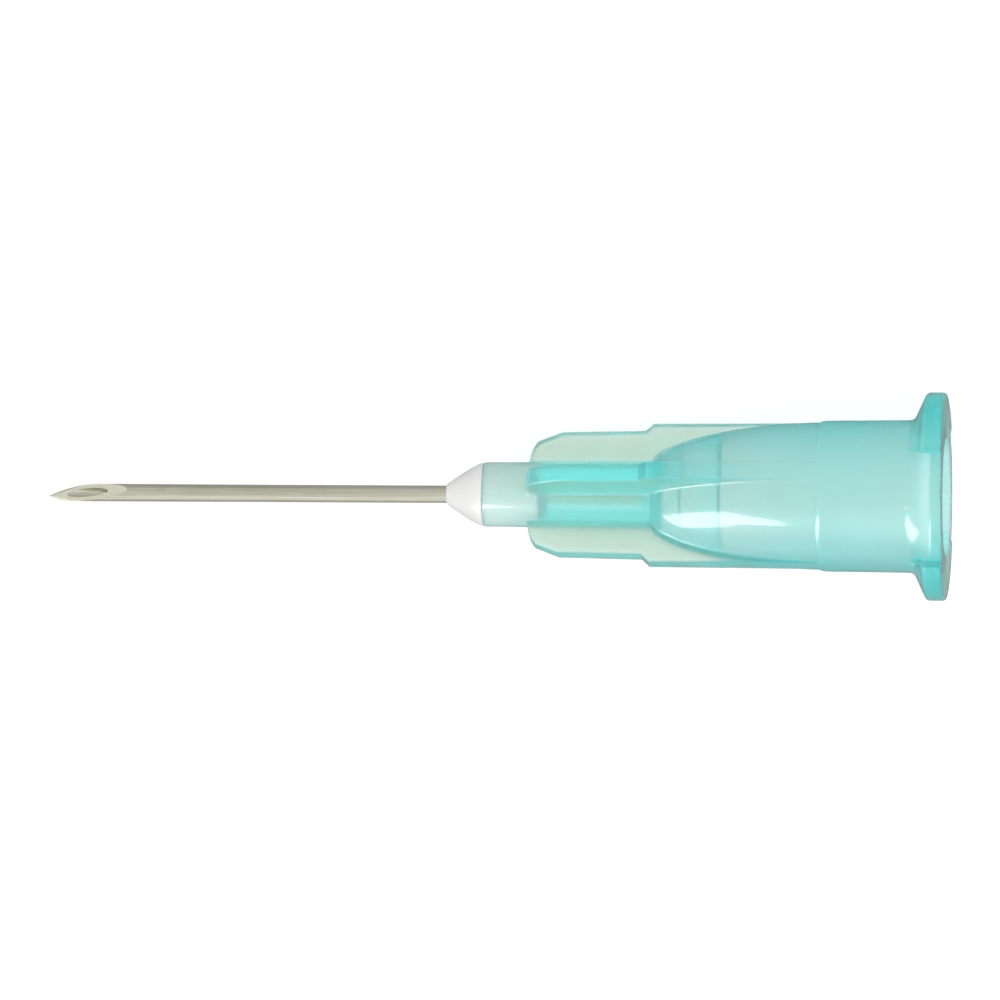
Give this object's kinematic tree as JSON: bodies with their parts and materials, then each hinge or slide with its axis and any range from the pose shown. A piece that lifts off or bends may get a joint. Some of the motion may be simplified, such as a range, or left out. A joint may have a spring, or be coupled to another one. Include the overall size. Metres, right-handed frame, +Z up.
{
  "type": "hypodermic needle",
  "caption": "Steel cannula with a lancet point, bonded with white adhesive into a clear tinted hub that has fins, a Luer socket and locking lugs.",
  "frame": {"origin": "centre of the bounding box's foot, on the surface that the needle lies on", "axes": "+X runs from the point towards the hub, along the needle as it lies, +Z up"},
  "size_m": [0.0338, 0.0076, 0.0068],
  "materials": {
    "drawn_steel": "drawn and ground stainless steel, satin with fine lengthwise lines",
    "white_epoxy": "opaque white bond, smooth, softly glossy",
    "tinted_polypropylene": "translucent turquoise polypropylene, smooth as moulded"
  },
  "bodies": {
    "root": {"cannula": "drawn_steel", "adhesive": "white_epoxy", "hub": "tinted_polypropylene"}
  },
  "joints": []
}
